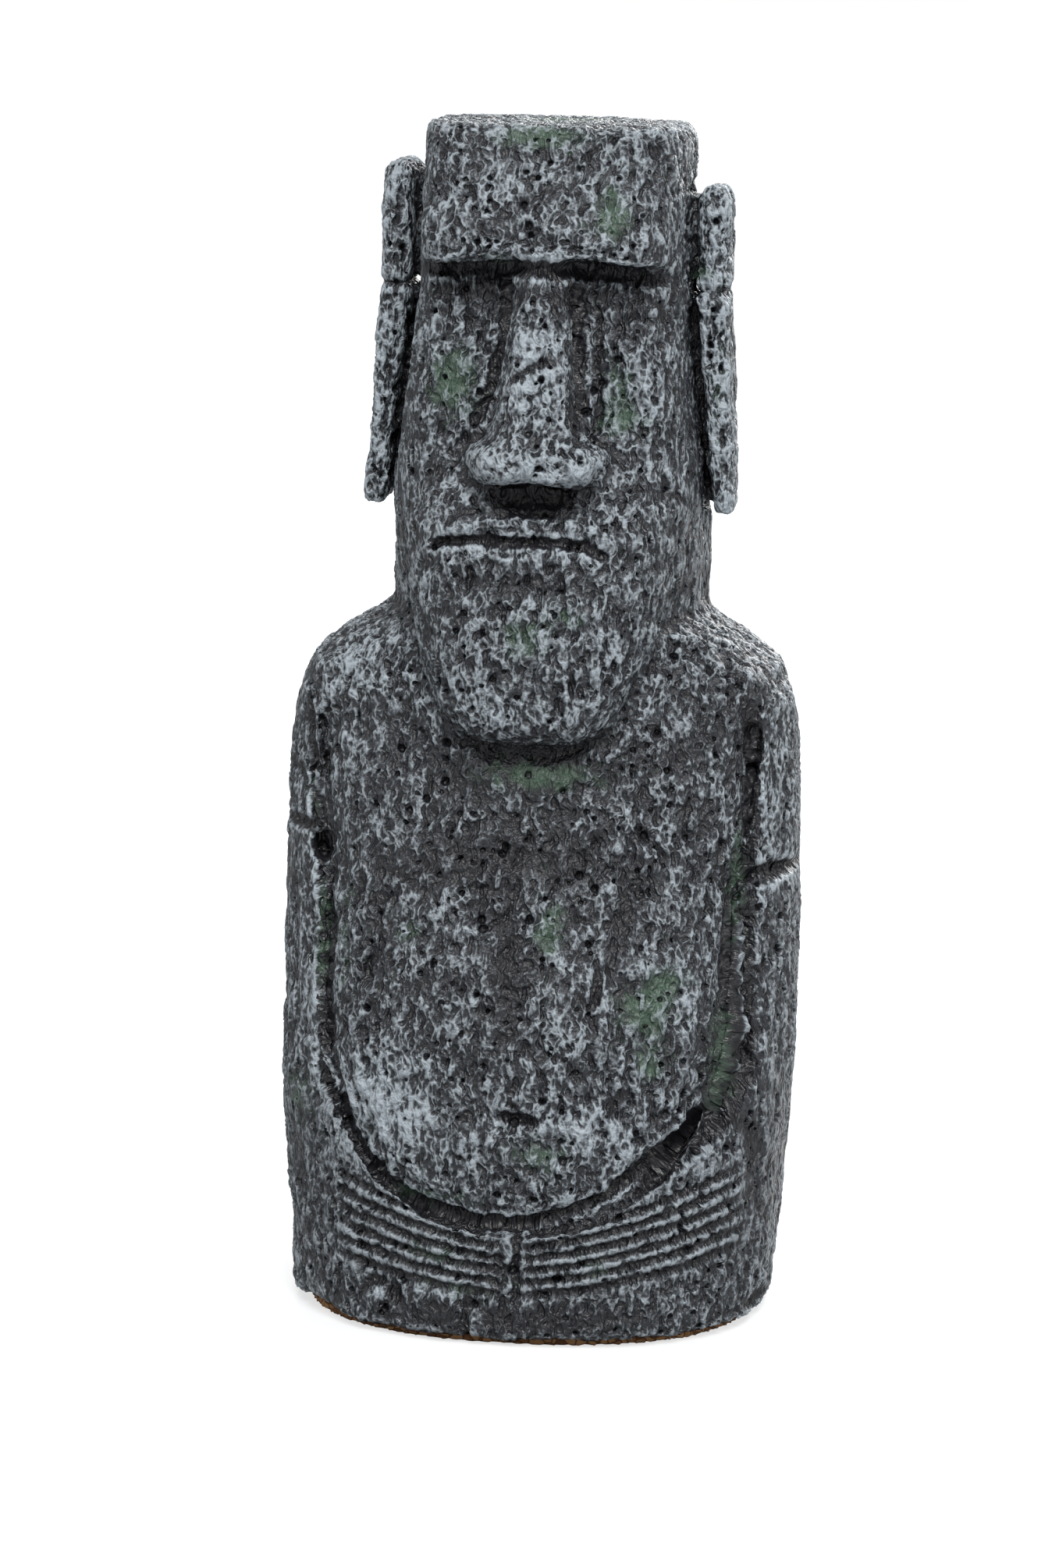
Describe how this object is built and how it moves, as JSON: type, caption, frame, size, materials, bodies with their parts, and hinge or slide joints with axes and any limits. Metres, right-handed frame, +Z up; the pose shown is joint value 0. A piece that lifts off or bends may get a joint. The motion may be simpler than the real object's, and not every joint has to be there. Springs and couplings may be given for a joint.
{
  "type": "moai statuette",
  "caption": "Stone-finish moai statuette: hollow trunk with pegged head, slab ears, arms and hands on a corked foot.",
  "frame": {"origin": "on the table, under the middle of the foot", "axes": "+Z up through the crown; -Y the way the face looks; +X the figure's own left"},
  "size_m": [0.0656, 0.058, 0.15],
  "materials": {
    "cast_stone_body": "dark charcoal cast stone, dry-brushed grey, mossy",
    "cast_stone_head": "dark charcoal cast stone, dry-brushed grey, mossy",
    "cast_stone_ears": "dark charcoal cast stone, dry-brushed grey",
    "cast_stone_arms": "dark charcoal cast stone, dry-brushed grey, mossy",
    "cast_stone_hands": "dark charcoal cast stone, dry-brushed grey",
    "peg_wood": "plain beech dowel",
    "plate": "black moulded plate",
    "screw_steel": "plain steel",
    "cork": "thin brown cork sheet"
  },
  "bodies": {
    "root": {"trunk": "cast_stone_body", "head": "cast_stone_head", "upper_ear_left": "cast_stone_ears", "upper_ear_right": "cast_stone_ears", "ear_lobe_left": "cast_stone_ears", "ear_lobe_right": "cast_stone_ears", "upper_arm_left": "cast_stone_arms", "upper_arm_right": "cast_stone_arms", "forearm_left": "cast_stone_arms", "forearm_right": "cast_stone_arms", "hand_left": "cast_stone_hands", "hand_right": "cast_stone_hands", "neck_pegs": "peg_wood", "ear_pegs": "peg_wood", "arm_pegs": "peg_wood", "base_plate": "plate", "plate_screws": "screw_steel", "base_pad": "cork"}
  },
  "joints": []
}
